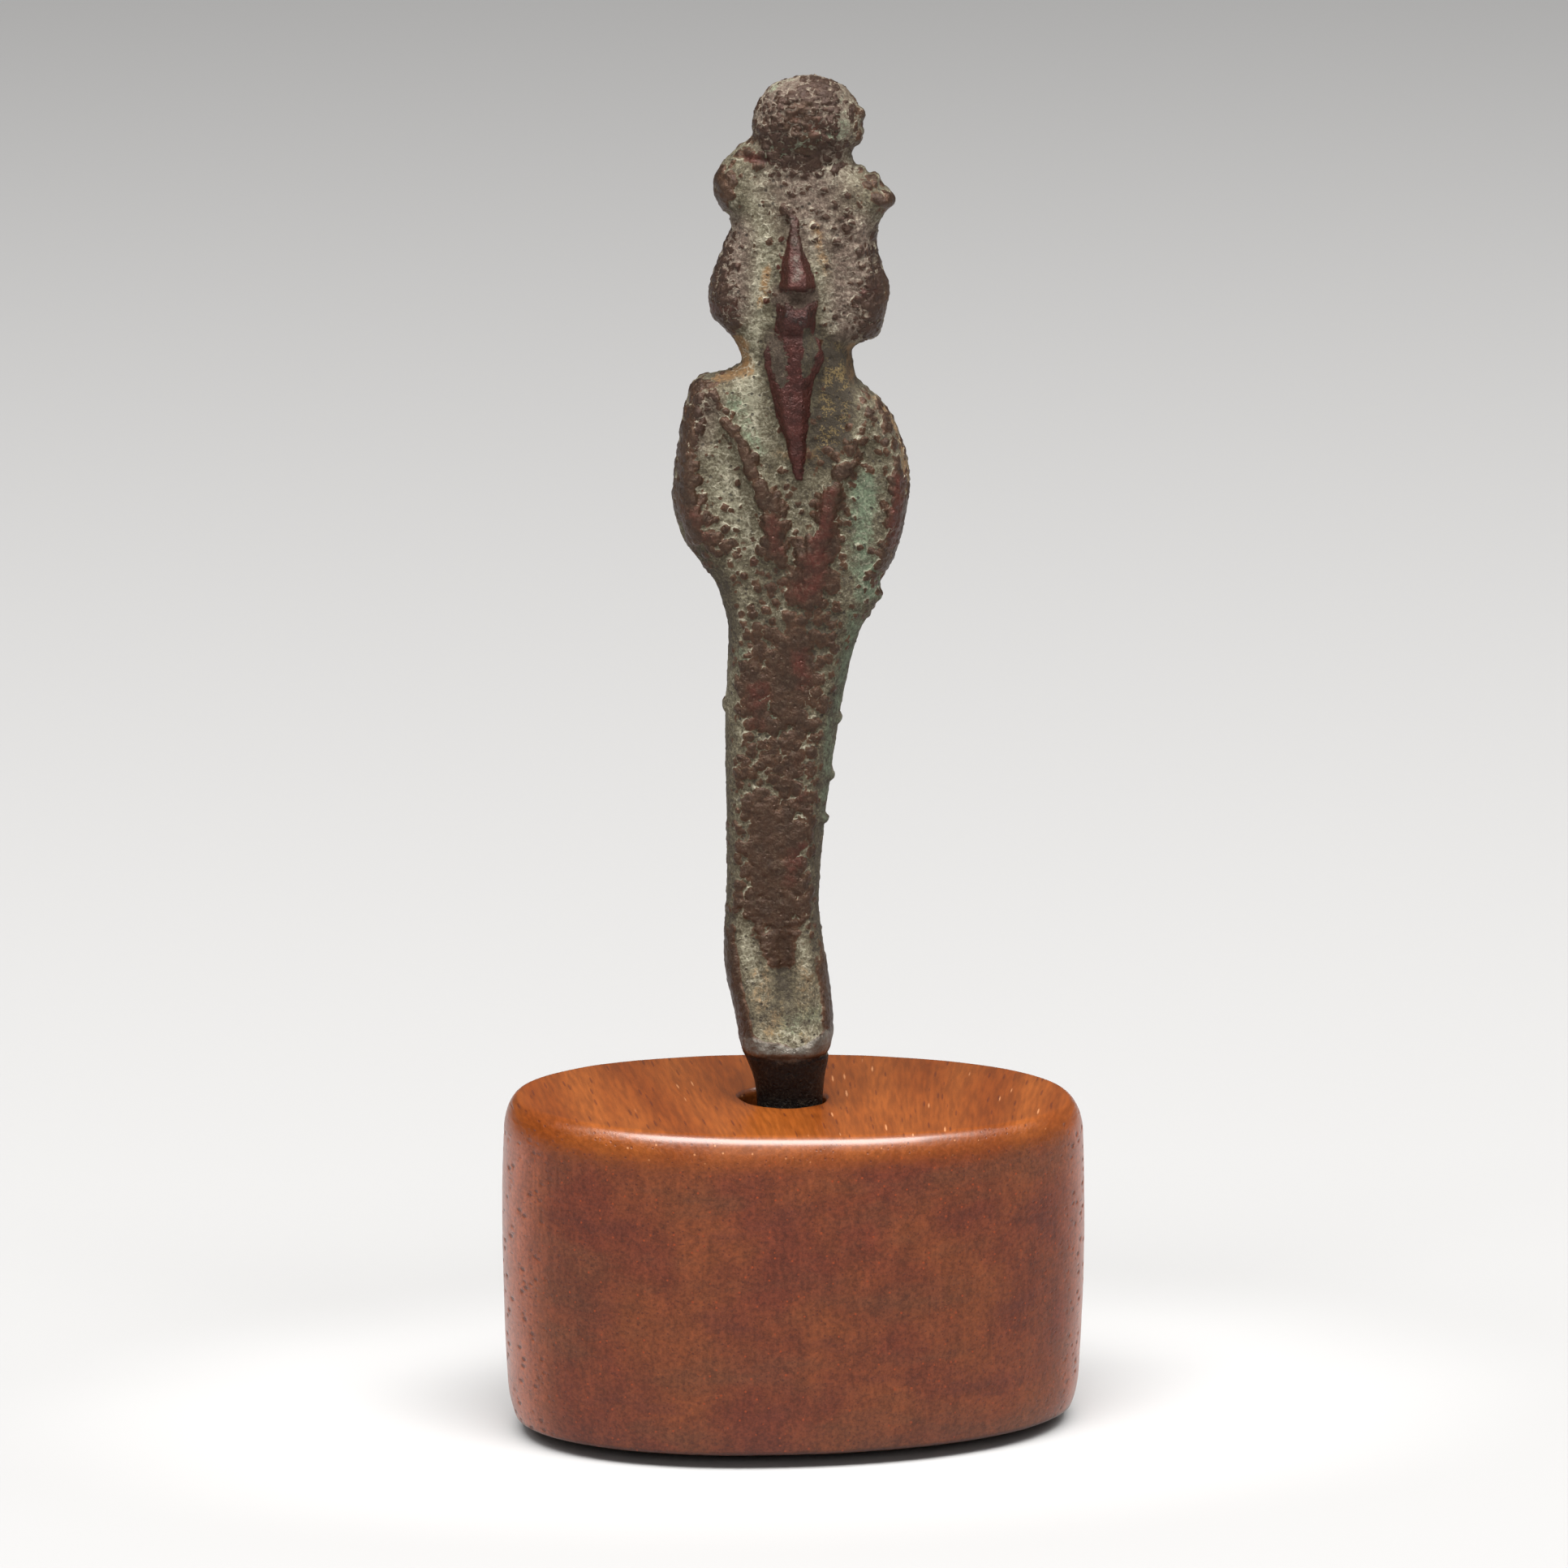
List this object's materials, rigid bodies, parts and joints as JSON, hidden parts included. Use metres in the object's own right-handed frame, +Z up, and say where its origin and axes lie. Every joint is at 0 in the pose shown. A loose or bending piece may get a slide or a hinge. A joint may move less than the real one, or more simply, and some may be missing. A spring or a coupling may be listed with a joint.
{
  "type": "osiris figure",
  "caption": "Small corroded cast bronze figure of Osiris with a tall crown and long beard, its tang standing in a socket in an oval wooden base.",
  "frame": {"origin": "middle of the base's flat underside", "axes": "+Z up, the base's long way along X, its front towards -Y; the figure faces 9 degrees to the left of -Y"},
  "size_m": [0.051, 0.0318, 0.1192],
  "materials": {
    "corroded_bronze": "dark red-brown patina with grey-green crust in the hollows, satin to dull",
    "base_wood": "red-brown hardwood, satin, with open pores"
  },
  "bodies": {
    "root": {"bronze_osiris_figure": "corroded_bronze", "oval_wooden_base": "base_wood"}
  },
  "joints": []
}
